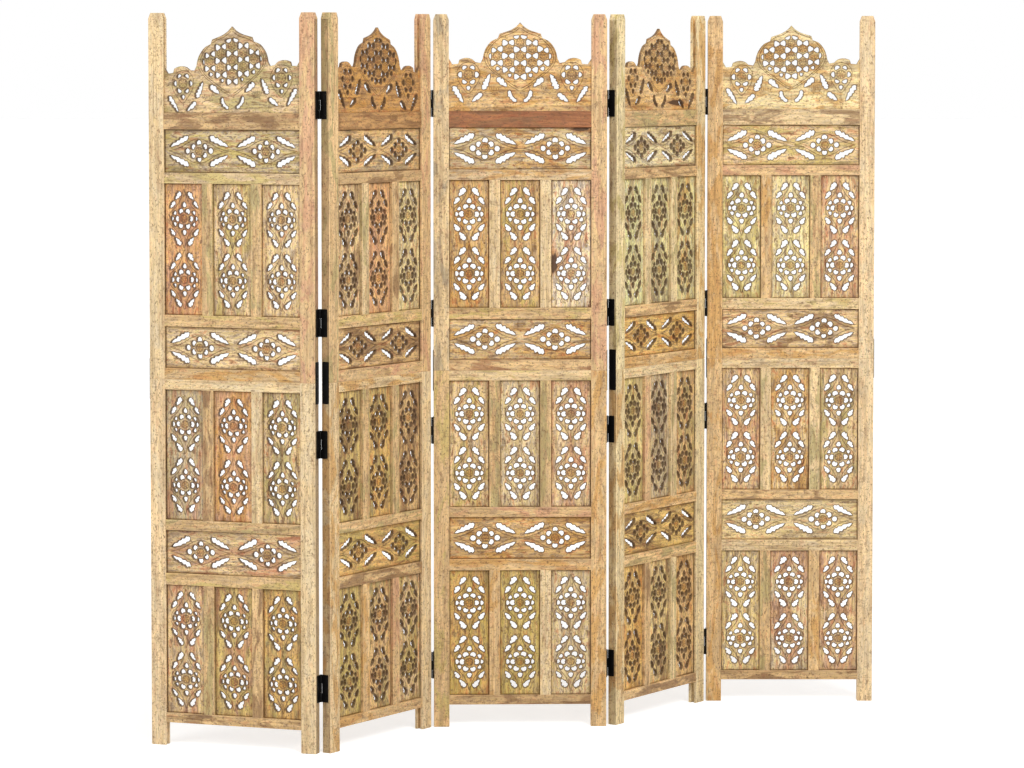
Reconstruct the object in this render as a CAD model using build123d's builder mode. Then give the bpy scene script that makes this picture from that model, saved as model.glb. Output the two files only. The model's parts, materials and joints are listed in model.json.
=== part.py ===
from build123d import *
import os
from math import cos, radians, sin

# Carved wooden folding screen of five hinged panels.
# Origin: centre of the bounding box, at floor level.  +Z up, the room in front is toward -Y.
# All sizes in millimetres.

# ---- Driving dimensions -------------------------------------------------------------------
WIDTH = 400.0  # one panel, over its stiles
HEIGHT = 1650.0
THICKNESS = 22.0
SPLIT = 829.0  # top of the lower section
SEAM = 0.2  # between the two sections, which the joint plates hold together
UPPER_START = SPLIT + SEAM

STILE_WIDTH = 36.0
STILE_CHAMFER = (5.0, 13.0)  # across, down
GROOVE_WIDTH = 8.0
GROOVE_DEPTH = 8.0
RAIL_THICKNESS = 21.0
MUNTIN_WIDTH = 25.0
BOARD_SEAT = 6.0  # how far a board reaches into a stile's groove

# Rails, as the heights of their lower and upper edges
LOWER_RAILS = ((52.0, 74.0), (365.0, 391.0), (489.0, 512.0), (806.0, SPLIT))
UPPER_RAILS = ((UPPER_START, 854.0), (948.0, 974.0), (1269.0, 1293.0), (1390.0, 1427.0))
FOOT_RAIL, SILL_RAIL, BELT_RAIL, JOINT_RAIL = LOWER_RAILS
BASE_RAIL, WAIST_RAIL, HEAD_RAIL, TOP_RAIL = UPPER_RAILS

# The zigzag: each panel's heading from the row's direction, and where its pin lies
HEADINGS = {1: -19.0, 2: 57.0, 3: 1.5, 4: 56.5, 5: 0.0}
PINS_AT_BACK = {1: True, 2: False, 3: True, 4: False}  # junction n joins panels n and n + 1
ROOT_PANEL = 3

EDGE_GAP = 4.0  # between two panels laid flat
PIN_STANDOFF = 3.0  # from the panel's face to the pin's axis
ROUND_SIDES = 8  # small round hardware is eight-sided, and these radii are to its corners
PIN_RADIUS = 1.25
BORE_RADIUS = 1.38  # leaves the pin's corners 0.025 clear of the bore's flats
BARREL_RADIUS = 2.5
LEAF_THICKNESS = 1.8
LEAF_WIDTH = 16.0
LEAF_HEIGHT = 62.0
END_KNUCKLE = 20.0
KNUCKLE_PLAY = 0.3
HINGE_HEIGHTS = (145.0, 691.0, 962.0, 1445.0)  # centres

PLATE_HEIGHT = 94.0
PLATE_WIDTH = 17.5
PLATE_THICKNESS = 1.5

# Piercing: a leaf-shaped slot is (across, up, length, width, turn) from its motif's centre, for
# the quarter up and to the right; its straight side faces the motif's centre
MEDALLION_SPACING = 137.4  # two to each tall board
MEDALLION_LEAF = (20.5, 39.5, 40.0, 9.5, 123.0)
BAND_MOTIF_SPACING = 162.0  # two to each band board
BAND_LEAF = (47.5, 19.0, 50.0, 10.5, 157.0)
CREST_LEAVES = (
    (42.8, 67.0, 32.0, 9.0, 36.0),
    (22.0, 36.5, 28.0, 8.5, 60.0),
    (76.0, 69.0, 39.0, 9.5, 118.0),
    (100.0, 33.0, 26.0, 8.5, 135.0),
    (141.0, 41.0, 44.0, 9.5, 59.0),
)
CREST_DROPS = {1: 12.0, 2: 13.0, 3: 0.0, 4: 13.0, 5: 4.0}  # how much lower each crest is set
CREST_LEANS = {1: 0.056, 2: -0.04, 3: 0.0, 4: -0.04, 5: 0.025}  # its rise per mm to the right

# ---- Places worked out from them ----------------------------------------------------------
MIDDLE = WIDTH / 2
BETWEEN_STILES = WIDTH - 2 * STILE_WIDTH
COLUMN_WIDTH = (BETWEEN_STILES - 2 * MUNTIN_WIDTH) / 3
COLUMN_PITCH = COLUMN_WIDTH + MUNTIN_WIDTH
BOARD_BACK = (THICKNESS + GROOVE_WIDTH) / 2  # depth of the boards' back faces
TALL_BAYS = ((FOOT_RAIL, SILL_RAIL), (BELT_RAIL, JOINT_RAIL), (WAIST_RAIL, HEAD_RAIL))
BANDS = ((SILL_RAIL, BELT_RAIL), (BASE_RAIL, WAIST_RAIL), (HEAD_RAIL, TOP_RAIL))


class Panel:
    """Where one panel stands: x runs along its width and depth runs back from its front face."""

    def __init__(self, number, pin, pin_depth):
        turn = radians(HEADINGS[number])
        self.number = number
        self.along = Vector(cos(turn), sin(turn), 0)
        self.front = Vector(sin(turn), -cos(turn), 0)
        self.corner = pin + self.along * (EDGE_GAP / 2) + self.front * pin_depth

    def point(self, x, depth, height=0.0):
        return self.corner + self.along * x - self.front * depth + Vector(0, 0, height)

    def face(self, depth):
        """Plane across the panel at a depth: x along the width, y up, normal to the front."""
        return Plane(origin=self.point(0, depth), x_dir=self.along, z_dir=self.front)

    def plan(self, height):
        """Level plane at a height: x along the width, y back from the front face."""
        return Plane(origin=self.point(0, 0, height), x_dir=self.along, z_dir=(0, 0, 1))

    def footprint(self):
        """Outermost points in plan: the panel's corners and those of its joint plates."""
        plate_front = (THICKNESS - PLATE_WIDTH) / 2
        plate_back = THICKNESS - plate_front
        corners = [self.point(x, depth) for x in (0, WIDTH) for depth in (0, THICKNESS)]
        for x in (-PLATE_THICKNESS, WIDTH + PLATE_THICKNESS):
            corners += [self.point(x, depth) for depth in (plate_front, plate_back)]
        return corners


def pin_depth(junction):
    return THICKNESS + PIN_STANDOFF if PINS_AT_BACK[junction] else -PIN_STANDOFF


def stand_panels():
    """Chains the panels pin by pin, then centres the footprint on the origin."""
    panels = {1: Panel(1, Vector(0, 0, 0), 0.0)}
    for junction in PINS_AT_BACK:
        depth = pin_depth(junction)
        pin = panels[junction].point(WIDTH + EDGE_GAP / 2, depth)
        panels[junction + 1] = Panel(junction + 1, pin, depth)
    outer = [corner for panel in panels.values() for corner in panel.footprint()]
    xs = [corner.X for corner in outer]
    ys = [corner.Y for corner in outer]
    centre = Vector((min(xs) + max(xs)) / 2, (min(ys) + max(ys)) / 2, 0)
    for panel in panels.values():
        panel.corner -= centre
    return panels


# ---- Frame --------------------------------------------------------------------------------
def stiles(panel, left):
    """The lower and upper stile of one side, grooved from end to end along the inner edge."""
    right = left + STILE_WIDTH
    across, down = STILE_CHAMFER
    groove_x = right - GROOVE_DEPTH / 2 if left == 0 else left + GROOVE_DEPTH / 2
    with BuildPart() as posts:
        with BuildSketch(panel.face(THICKNESS)):
            with Locations((left + STILE_WIDTH / 2, SPLIT / 2)):
                Rectangle(STILE_WIDTH, SPLIT)
            with BuildLine():
                Polyline(
                    (left, UPPER_START),
                    (left, HEIGHT - down),
                    (left + across, HEIGHT),
                    (right - across, HEIGHT),
                    (right, HEIGHT - down),
                    (right, UPPER_START),
                    close=True,
                )
            make_face()
        extrude(amount=THICKNESS)
        with BuildSketch(panel.plan(0)):
            with Locations((groove_x, THICKNESS / 2)):
                Rectangle(GROOVE_DEPTH, GROOVE_WIDTH)
        extrude(amount=HEIGHT, mode=Mode.SUBTRACT)
    return posts.part


def rails(panel, edges):
    """Rails from stile to stile, a little thinner than the stiles."""
    with BuildPart() as frame:
        for low, high in edges:
            with BuildSketch(panel.plan(low)):
                with Locations((MIDDLE, THICKNESS / 2)):
                    Rectangle(BETWEEN_STILES, RAIL_THICKNESS)
            extrude(amount=high - low)
    return frame.part


def muntins(panel):
    """Two upright bars in each tall bay, standing between its rails."""
    offset = COLUMN_PITCH / 2
    with BuildPart() as bars:
        for below, above in TALL_BAYS:
            with BuildSketch(panel.plan(below[1])):
                with Locations((MIDDLE - offset, THICKNESS / 2), (MIDDLE + offset, THICKNESS / 2)):
                    Rectangle(MUNTIN_WIDTH, RAIL_THICKNESS)
            extrude(amount=above[0] - below[1])
    return bars.part


# ---- Pierced boards -----------------------------------------------------------------------
def leaf_slot(x, up, leaf, side, level=1):
    """A pointed slot with one straight side, mirrored into the quarter that side and level name."""
    across, rise, length, width, turn = leaf
    corners = [
        Vector(along, out).rotate(Axis.Z, turn)
        for along, out in ((-length / 2, width / 2), (length / 2, width / 2), (0, -width / 2))
    ]
    with Locations((x + side * across, up + level * rise)):
        Polygon(
            *[(side * corner.X, level * corner.Y) for corner in corners],
            align=None,
            mode=Mode.SUBTRACT,
        )


def motif(x, up, leaf):
    """The same slot in all four quarters about a motif's centre."""
    for side in (-1, 1):
        for level in (-1, 1):
            leaf_slot(x, up, leaf, side, level)


def jali_boards(panel):
    """Three tall boards to a bay, each pierced about two medallions."""
    columns = ((-1, BOARD_SEAT, 0), (0, 0, 0), (1, 0, BOARD_SEAT))
    with BuildPart() as boards:
        with BuildSketch(panel.face(BOARD_BACK)):
            for below, above in TALL_BAYS:
                low, high = below[1], above[0]
                level = (low + high) / 2
                for column, seat_left, seat_right in columns:
                    x = MIDDLE + column * COLUMN_PITCH
                    with Locations((x + (seat_right - seat_left) / 2, level)):
                        Rectangle(COLUMN_WIDTH + seat_left + seat_right, high - low)
                    for side in (-1, 1):
                        motif(x, level + side * MEDALLION_SPACING / 2, MEDALLION_LEAF)
        extrude(amount=GROOVE_WIDTH)
    return boards.part


def band_boards(panel):
    """One wide board to a band, pierced about two motifs."""
    with BuildPart() as boards:
        with BuildSketch(panel.face(BOARD_BACK)):
            for below, above in BANDS:
                low, high = below[1], above[0]
                level = (low + high) / 2
                with Locations((MIDDLE, level)):
                    Rectangle(BETWEEN_STILES + 2 * BOARD_SEAT, high - low)
                for side in (-1, 1):
                    motif(MIDDLE + side * BAND_MOTIF_SPACING / 2, level, BAND_LEAF)
        extrude(amount=GROOVE_WIDTH)
    return boards.part


def leaning(points, side, lean):
    """Points of the right half, moved to a side and raised by the lean."""
    return [(side * across, up + lean * side * across) for across, up in points]


def crest(panel):
    """Arched board above the top rail: an ogee point, round shoulders and a lobe at each side."""
    inner_edge = BETWEEN_STILES / 2
    seated_edge = inner_edge + BOARD_SEAT
    tip, flare, ear, brow = (0, 204), (21, 187), (47.5, 178), (51, 168)
    shoulder, neck, notch = (77, 148), (86, 121), (91, 111)
    lobe_start, lobe_top, lobe_end = (103, 113), (122, 122.7), (140, 118)
    dip_start, dip, corner = (142.5, 109), (156, 108), (inner_edge, 121)
    seat_top = (seated_edge, corner[1])
    foot = CREST_DROPS[panel.number]
    lean = CREST_LEANS[panel.number]
    back = panel.face(BOARD_BACK)
    centre_line = Plane(
        origin=back.from_local_coords((MIDDLE, TOP_RAIL[1] - foot, 0)),
        x_dir=panel.along,
        z_dir=panel.front,
    )
    with BuildPart() as board:
        with BuildSketch(centre_line):
            for side in (-1, 1):
                with BuildLine():
                    Polyline(*leaning((tip, flare, ear, brow), side, lean))
                    ThreePointArc(*leaning((brow, shoulder, neck), side, lean))
                    Polyline(*leaning((neck, notch, lobe_start), side, lean))
                    ThreePointArc(*leaning((lobe_start, lobe_top, lobe_end), side, lean))
                    Polyline(*leaning((lobe_end, dip_start, dip, corner, seat_top), side, lean))
                    Polyline(
                        *leaning((seat_top,), side, lean),
                        (side * seated_edge, foot),
                        (0, foot),
                        tip,
                    )
                make_face()
                for leaf in CREST_LEAVES:
                    leaf_slot(0, lean * side * leaf[0], leaf, side)
        extrude(amount=GROOVE_WIDTH)
    return board.part


# ---- Hardware -----------------------------------------------------------------------------
def joint_plates(panel):
    """Steel plates on both edges, which hold the upper section on the lower one."""
    with BuildPart() as plates:
        with BuildSketch(panel.plan(SPLIT - PLATE_HEIGHT / 2)):
            with Locations(
                (-PLATE_THICKNESS / 2, THICKNESS / 2),
                (WIDTH + PLATE_THICKNESS / 2, THICKNESS / 2),
            ):
                Rectangle(PLATE_THICKNESS, PLATE_WIDTH)
        extrude(amount=PLATE_HEIGHT)
    return plates.part


def hinge_leaf(panel, junction, height):
    """One leaf of a butt hinge: the panel nearer the root carries the two end knuckles."""
    at_right = panel.number == junction
    outward = 1 if at_right else -1
    edge = WIDTH if at_right else 0.0
    carries_pin = at_right == (junction >= ROOT_PANEL)
    face, backward = (THICKNESS, -1) if PINS_AT_BACK[junction] else (0.0, 1)
    leaf_x = edge + outward * LEAF_THICKNESS / 2
    pin_x = edge + outward * EDGE_GAP / 2
    low = height - LEAF_HEIGHT / 2
    with BuildSketch(panel.plan(low)) as flange:
        with Locations((leaf_x, face + backward * LEAF_WIDTH / 2)):
            Rectangle(LEAF_THICKNESS, LEAF_WIDTH)
    extrude(flange.sketch, amount=LEAF_HEIGHT)
    middle = (END_KNUCKLE + KNUCKLE_PLAY, LEAF_HEIGHT - END_KNUCKLE - KNUCKLE_PLAY)
    ends = ((0.0, END_KNUCKLE), (LEAF_HEIGHT - END_KNUCKLE, LEAF_HEIGHT))
    for start, stop in ends if carries_pin else (middle,):
        with BuildSketch(panel.plan(low + start)) as knuckle:
            with Locations((leaf_x, face - backward * PIN_STANDOFF / 2)):
                Rectangle(LEAF_THICKNESS, PIN_STANDOFF)
            with Locations((pin_x, pin_depth(junction))):
                RegularPolygon(BARREL_RADIUS, ROUND_SIDES, rotation=180 / ROUND_SIDES)
                if not carries_pin:
                    RegularPolygon(BORE_RADIUS, ROUND_SIDES, mode=Mode.SUBTRACT)
        extrude(knuckle.sketch, amount=stop - start)


def hinge_leaves(panel):
    with BuildPart() as leaves:
        for junction in (panel.number - 1, panel.number):
            if junction in PINS_AT_BACK:
                for height in HINGE_HEIGHTS:
                    hinge_leaf(panel, junction, height)
    return leaves.part


def hinge_pins(panel, junction):
    """Pins between the end knuckles, through the middle knuckle of the other leaf."""
    with BuildPart() as pins:
        for height in HINGE_HEIGHTS:
            with BuildSketch(panel.plan(height - LEAF_HEIGHT / 2 + END_KNUCKLE)):
                with Locations((WIDTH + EDGE_GAP / 2, pin_depth(junction))):
                    RegularPolygon(PIN_RADIUS, ROUND_SIDES)
            extrude(amount=LEAF_HEIGHT - 2 * END_KNUCKLE)
    return pins.part


# ---- Build and write ----------------------------------------------------------------------
def write(piece, name):
    piece.label = name
    export_step(piece, f"parts/{name}.step")


os.makedirs("parts", exist_ok=True)
for number, panel in stand_panels().items():
    write(stiles(panel, 0), f"panel_{number}_left_stiles")
    write(stiles(panel, WIDTH - STILE_WIDTH), f"panel_{number}_right_stiles")
    write(rails(panel, LOWER_RAILS), f"panel_{number}_lower_rails")
    write(rails(panel, UPPER_RAILS), f"panel_{number}_upper_rails")
    write(muntins(panel), f"panel_{number}_muntins")
    write(jali_boards(panel), f"panel_{number}_jali_boards")
    write(band_boards(panel), f"panel_{number}_band_boards")
    write(crest(panel), f"panel_{number}_crest")
    write(joint_plates(panel), f"panel_{number}_joint_plates")
    write(hinge_leaves(panel), f"panel_{number}_hinge_leaves")
    if number in PINS_AT_BACK:
        write(hinge_pins(panel, number), f"hinge_pins_{number}_{number + 1}")
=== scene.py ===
import json
from math import atan2, cos, hypot, pi, radians, sin, tau

import bmesh
import bpy
import numpy as np
from mathutils import Matrix, Vector
from mathutils.geometry import delaunay_2d_cdt
from numpy.linalg import norm


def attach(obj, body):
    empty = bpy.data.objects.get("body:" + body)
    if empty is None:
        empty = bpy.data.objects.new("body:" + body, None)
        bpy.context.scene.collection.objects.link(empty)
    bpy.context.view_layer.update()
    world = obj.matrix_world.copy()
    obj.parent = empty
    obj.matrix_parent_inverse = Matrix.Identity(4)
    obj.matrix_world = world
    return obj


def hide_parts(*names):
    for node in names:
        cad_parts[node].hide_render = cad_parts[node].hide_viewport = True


# Carved jali folding screen of five panels. Sizes in this file are millimetres in a panel's own
# frame: x along the panel from its left edge, y back from its front face, z up from the floor.

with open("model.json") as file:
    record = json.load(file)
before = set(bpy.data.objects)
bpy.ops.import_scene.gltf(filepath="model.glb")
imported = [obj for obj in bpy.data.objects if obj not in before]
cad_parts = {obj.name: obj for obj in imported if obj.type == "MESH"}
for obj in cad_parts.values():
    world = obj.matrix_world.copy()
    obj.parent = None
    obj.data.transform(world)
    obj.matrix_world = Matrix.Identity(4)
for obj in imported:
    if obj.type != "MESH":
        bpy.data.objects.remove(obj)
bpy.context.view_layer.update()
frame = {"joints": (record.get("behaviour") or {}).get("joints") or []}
MM = 0.001

# ---- The panels' places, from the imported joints
WIDTH = 400.0
HEIGHT = 1650.0
THICKNESS = 22.0
SPLIT = 829.0
SEAM = 0.2
STILE = 36.0
GROOVE = 8.0
MUNTIN = 25.0
RAIL_INSET = 0.5
EDGE_GAP = 4.0
STANDOFF = 3.0
HEADINGS = {1: -19.0, 2: 57.0, 3: 1.5, 4: 56.5, 5: 0.0}
PINS_AT_BACK = {1: True, 2: False, 3: True, 4: False}
ROOT_PANEL = 3
HINGE_HEIGHTS = (145.0, 691.0, 962.0, 1445.0)
LOWER_RAILS = ((52.0, 74.0), (365.0, 391.0), (489.0, 512.0), (806.0, SPLIT))
UPPER_RAILS = ((SPLIT + SEAM, 854.0), (948.0, 974.0), (1269.0, 1293.0), (1390.0, 1427.0))
TALL_BAYS = ((74.0, 365.0), (512.0, 806.0), (974.0, 1269.0))
BANDS = ((391.0, 489.0), (854.0, 948.0), (1293.0, 1390.0))
MIDDLE = WIDTH / 2
OPENING = WIDTH - 2 * STILE
COLUMN = (OPENING - 2 * MUNTIN) / 3
PITCH = COLUMN + MUNTIN
BOARD_FRONT = 7.0
BOARD_BACK = 15.0
TUCK = 0.4  # how far a board reaches past its opening
CREST_SEAT = 6.0  # and how far the crest's foot does
STILE_ROUND, RAIL_ROUND = 1.3, 1.0
CHAMFER_WIDE, CHAMFER_DEEP = 5.0, 13.0  # of the stiles' tops
TOUCH = 0.01  # nearer than this is the same place
TINY = 1e-9  # keeps a division from one by nothing
PANELS = (1, 2, 3, 4, 5)

pins = {int(j["name"].split("_")[1]): Vector(j["pos_m"]) / MM for j in frame["joints"]}


def pin_depth(junction):
    return THICKNESS + STANDOFF if PINS_AT_BACK[junction] else -STANDOFF


def panel_matrix(n):
    turn = radians(HEADINGS[n])
    along = Vector((cos(turn), sin(turn), 0))
    back = Vector((-sin(turn), cos(turn), 0))
    junction, x = (n - 1, -EDGE_GAP / 2) if n > 1 else (1, WIDTH + EDGE_GAP / 2)
    corner = (pins[junction] - along * x - back * pin_depth(junction)) * MM
    return Matrix(((along.x, back.x, 0, corner.x), (along.y, back.y, 0, corner.y),
                   (0, 0, 1, 0), (0, 0, 0, 1)))


# ---- Wood: colours, one tone and one stain to each piece
TONES = {
    "honey": (0.70, 0.49, 0.26), "straw": (0.76, 0.58, 0.34), "cream": (0.80, 0.60, 0.36),
    "tan": (0.61, 0.42, 0.22), "umber": (0.37, 0.15, 0.065), "bark": (0.50, 0.285, 0.12),
    "chalk": (0.80, 0.67, 0.51), "stone": (0.64, 0.52, 0.35), "rose": (0.66, 0.40, 0.24),
    "peach": (0.70, 0.42, 0.22), "olive": (0.58, 0.44, 0.19), "ochre": (0.64, 0.42, 0.17),
    "ash": (0.53, 0.43, 0.29), "sand": (0.66, 0.50, 0.31),
}
STAINS = {
    "brown": (0.25, 0.13, 0.06), "lime": (0.62, 0.50, 0.17), "grey": (0.40, 0.34, 0.25),
    "pink": (0.68, 0.36, 0.23), "amber": (0.66, 0.35, 0.09), "moss": (0.46, 0.40, 0.18),
    "pale": (0.84, 0.68, 0.44),
}
# Each pair of words is a tone and its stain. A row is a panel's.
def by_panel(*rows):
    return {n: row.split(", ") for n, row in zip(PANELS, rows)}


TALL = by_panel(  # by bay from the floor up, and in a bay from left to right
    "sand pink, olive pink, ochre moss, ash pink, rose amber, sand moss, "
    "peach pink, sand lime, sand pale",
    "olive lime, tan moss, sand lime, olive brown, ochre moss, tan brown, "
    "sand brown, peach pink, straw pale",
    "ochre lime, olive lime, stone pale, sand lime, stone pale, sand pink, "
    "tan amber, tan lime, chalk pink",
    "ochre amber, honey brown, tan amber, honey lime, ash grey, tan moss, "
    "cream pale, straw grey, straw amber",
    "straw pale, stone pink, sand pink, sand pink, sand amber, sand moss, "
    "cream lime, cream pale, sand pink")
BAND = by_panel(
    "sand pink, sand pale, ash lime", "ochre lime, tan brown, tan grey",
    "tan amber, sand amber, stone amber", "ochre brown, ochre amber, stone pale",
    "straw pale, sand brown, sand lime")
CREST = {1: "sand moss", 2: "bark amber", 3: "honey amber", 4: "tan amber", 5: "straw amber"}
STILES = by_panel(  # lower left, lower right, upper left, upper right
    "cream pale, straw pale, straw pale, honey pink",
    "straw amber, straw pale, honey moss, honey pink",
    "honey lime, honey amber, straw grey, honey pink",
    "straw amber, cream pale, cream lime, straw amber",
    "honey amber, cream pale, honey amber, cream pale")
RAIL = by_panel(  # from the floor up
    "honey brown, honey lime, honey moss, straw pale, honey amber, honey lime, sand lime, tan brown",
    "honey amber, honey brown, honey moss, straw amber, honey pink, honey lime, tan brown, bark brown",
    "tan brown, honey amber, honey pink, straw lime, honey umber, honey lime, sand amber, umber brown",
    "honey brown, honey moss, honey amber, straw pale, honey amber, honey brown, tan brown, tan moss",
    "tan brown, straw pale, honey brown, straw pale, honey amber, straw lime, honey pink, straw brown")
MUNTINS = "honey amber, straw moss, honey brown, straw pale, honey pink, honey moss".split(", ")
# A knot's middle and half sizes, by panel and place.
KNOTS = {
    (3, "tall", 2, 2): (278.0, 1078.0, 9.0, 27.0),
    (3, "band", 2): (338.0, 1386.0, 24.0, 6.0),
    (4, "crest"): (275.0, 1444.0, 42.0, 8.0),
}
NO_KNOT = (9999.0, 0.0, 1.0, 1.0)
# How bright each panel's frame and boards are.
GAINS = {1: (0.98, 1.12), 2: (1.02, 1.18), 3: (1.0, 1.10), 4: (1.14, 1.36), 5: (1.03, 1.20)}
BRIGHTEST = 0.84  # no tone is paler than this
GRAIN_SHIFT, GRAIN_SKEW = 40.0, 0.02
EDGE_SHADE = 0.5  # the painted shade on the stiles' outer faces
BLOTCHED = {"stile": 0.3, "rail": 0.45, "muntin": 0.4, "tall": 0.95, "band": 0.9, "crest": 0.7}
# The meshes' attributes, and how many numbers each has to a point. One holds worn edges below 0 and
# painted shade above 0.
LAYERS = {"grain": 3, "tone": 3, "stain": 3, "knot": 3, "dirt": 1, "mottle": 1}


def wood(words, along, place, rng, gain, knot=None):
    """A piece's finish: tone and stain, the axis its grain runs along, and how blotched it is."""
    tone, stain = words.split()
    return {
        "along": along,
        "tone": np.minimum(np.array(TONES[tone]) * rng.uniform(0.96, 1.04) * gain, BRIGHTEST),
        "stain": np.array({**TONES, **STAINS}[stain]),
        "mottle": BLOTCHED[place] * rng.uniform(0.85, 1.15),
        "shift": rng.uniform(-GRAIN_SHIFT, GRAIN_SHIFT, 3),
        "skew": rng.uniform(-GRAIN_SKEW, GRAIN_SKEW),
        "knot": knot or NO_KNOT,
    }


def in_scene(name, data):
    thing = bpy.data.objects.new(name, data)
    bpy.context.scene.collection.objects.link(thing)
    return thing


class Pieces:
    """Gathers parts of one node into a mesh with its wood attributes."""

    def __init__(self):
        self.places, self.faces, self.smooth, self.count = [], [], [], 0
        self.layers = {key: [] for key in LAYERS}

    def add(self, places, faces, dirt=None, grown=None, smooth=False, tint=1.0):
        places = np.asarray(places, float).reshape(-1, 3)
        n = len(places)
        self.places.append(places)
        self.faces += [tuple(i + self.count for i in f) for f in faces]
        self.smooth += smooth if isinstance(smooth, list) else [smooth] * len(faces)
        self.count += n
        if not grown:
            return
        along = places[:, grown["along"]]
        across = places[:, 2 - grown["along"]] + grown["skew"] * along
        x, z, wide, tall = grown["knot"]
        knot = [(places[:, 0] - x) / wide, (places[:, 2] - z) / tall, 0 * along]
        for key, values in {
            "grain": np.stack([along, across, places[:, 1]], 1) * MM + grown["shift"],
            "tone": np.tile(grown["tone"], (n, 1)) * tint,
            "stain": np.tile(grown["stain"], (n, 1)) * tint,
            "knot": np.stack(knot, 1),
            "dirt": np.asarray(dirt, float),
            "mottle": np.full(n, grown["mottle"]),
        }.items():
            self.layers[key].append(values)

    def mesh(self, name, material):
        mesh = bpy.data.meshes.new(name)
        places = np.concatenate(self.places) * MM
        mesh.from_pydata(places.tolist(), [], self.faces)
        mesh.polygons.foreach_set("use_smooth", self.smooth)
        for key, size in LAYERS.items():
            if self.layers[key]:
                kind, field = ("FLOAT_VECTOR", "vector") if size == 3 else ("FLOAT", "value")
                layer = mesh.attributes.new(key, kind, "POINT")
                values = np.concatenate(self.layers[key]).astype(np.float32)
                layer.data.foreach_set(field, values.ravel())
        mesh.materials.append(material)
        mesh.validate()
        mesh.update()
        return mesh

    def place(self, name, panel, material, slot, *nodes):
        piece = in_scene(name, self.mesh(name, material))
        piece.matrix_world = matrices[panel]
        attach(piece, f"panel_{panel}")
        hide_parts(*nodes)


SHARP = radians(12)


def softened(bm, size, segments=2):
    """Rounds the outward edges. Returns vertices, faces and, as dirt of -1, the worn corners."""
    bm.normal_update()
    planes = [(f.normal.copy(), f.normal @ f.verts[0].co) for f in bm.faces]
    sharp = [e for e in bm.edges if e.is_convex and e.calc_face_angle(0) > SHARP]
    bmesh.ops.bevel(bm, geom=sharp, offset=size, segments=segments, affect="EDGES",
                    profile=0.5, clamp_overlap=True)
    bm.verts.index_update()
    places = [tuple(v.co) for v in bm.verts]
    faces = [tuple(v.index for v in f.verts) for f in bm.faces]
    worn = [-1.0 if all(abs(n @ v.co - d) > 1e-3 for n, d in planes) else 0.0 for v in bm.verts]
    bm.free()
    return places, faces, worn


def swept(outline, way):
    """A solid made by moving an outline along a vector."""
    bm = bmesh.new()
    face = bm.faces.new([bm.verts.new(corner) for corner in outline])
    made = bmesh.ops.extrude_face_region(bm, geom=[face])["geom"]
    bmesh.ops.translate(bm, vec=way, verts=[g for g in made if isinstance(g, bmesh.types.BMVert)])
    bmesh.ops.recalc_face_normals(bm, faces=bm.faces)
    return bm


def prism(profile, low, high):
    return swept([(x, y, low) for x, y in profile], (0, 0, high - low))


def block(x0, x1, y0, y1, z0, z1, size):
    return softened(prism([(x0, y0), (x1, y0), (x1, y1), (x0, y1)], z0, z1), size)


def stile(left, low, high, chamfered):
    """An upright with a groove along its inner edge, and a chamfered top if it is an upper one."""
    right = left + STILE
    near, far = (THICKNESS - GROOVE) / 2, (THICKNESS + GROOVE) / 2
    if left == 0:
        outer = left
        profile = [(left, 0), (right, 0), (right, near), (right - GROOVE, near),
                   (right - GROOVE, far), (right, far), (right, THICKNESS), (left, THICKNESS)]
    else:
        outer = right
        profile = [(left, 0), (right, 0), (right, THICKNESS), (left, THICKNESS), (left, far),
                   (left + GROOVE, far), (left + GROOVE, near), (left, near)]
    bm = prism(profile, low, high)
    if chamfered:
        for x, outward in ((left, -1), (right, 1)):
            cut = bmesh.ops.bisect_plane(
                bm, geom=bm.verts[:] + bm.edges[:] + bm.faces[:],
                plane_co=(x, 0, high - CHAMFER_DEEP),
                plane_no=(outward * CHAMFER_DEEP, 0, CHAMFER_WIDE), clear_outer=True)
            rim = [g for g in cut["geom_cut"] if isinstance(g, bmesh.types.BMEdge)]
            bmesh.ops.edgeloop_fill(bm, edges=rim)
        bmesh.ops.recalc_face_normals(bm, faces=bm.faces)
    places, faces, worn = softened(bm, STILE_ROUND)
    # Painted shade on the outer face; the worn corners elsewhere.
    dirt = [EDGE_SHADE if abs(p[0] - outer) < TOUCH else w for p, w in zip(places, worn)]
    return places, faces, dirt


# ---- Carving: a board's front is one sheet of triangles with holes, grooves and flowers ---
def loop(n, start=0.0):
    return [start + tau * k / n for k in range(n)]


def anticlockwise(points):
    p = np.asarray(points, float)
    q = np.roll(p, -1, 0)
    return p if (p[:, 0] * q[:, 1] - q[:, 0] * p[:, 1]).sum() > 0 else p[::-1]


SHARPEST = 1.1  # keeps a thin corner from running far out


def grown_by(points, distance):
    """A closed outline moved outward (or inward, if negative) along its corners' bisectors."""
    edge = np.roll(points, -1, 0) - points
    normal = np.stack([edge[:, 1], -edge[:, 0]], 1)
    normal /= np.maximum(norm(normal, axis=1), TINY)[:, None]
    mean = normal + np.roll(normal, 1, 0)
    length = norm(mean, axis=1)
    mean /= np.maximum(length, SHARPEST)[:, None] ** 2 / 2
    return points + distance * mean


def turned(points, degrees, x, z, mirror=1):
    a = radians(degrees)
    p = np.asarray(points, float)
    out = np.stack([p[:, 0] * cos(a) - p[:, 1] * sin(a), p[:, 0] * sin(a) + p[:, 1] * cos(a)], 1)
    out[:, 0] *= mirror
    return out + (x, z)


def rayed(x, z, rays):
    """An outline from rays, each an angle and a length."""
    return [(x + r * cos(a), z + r * sin(a)) for a, r in rays]


def disc(x, z, radius, rng, n=12):
    r = radius * rng.uniform(0.93, 1.07)
    turn = rng.uniform(0, 1)
    return [(x + r * rng.uniform(0.95, 1.04) * cos(a), z + r * sin(a)) for a in loop(n, turn)]


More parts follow.
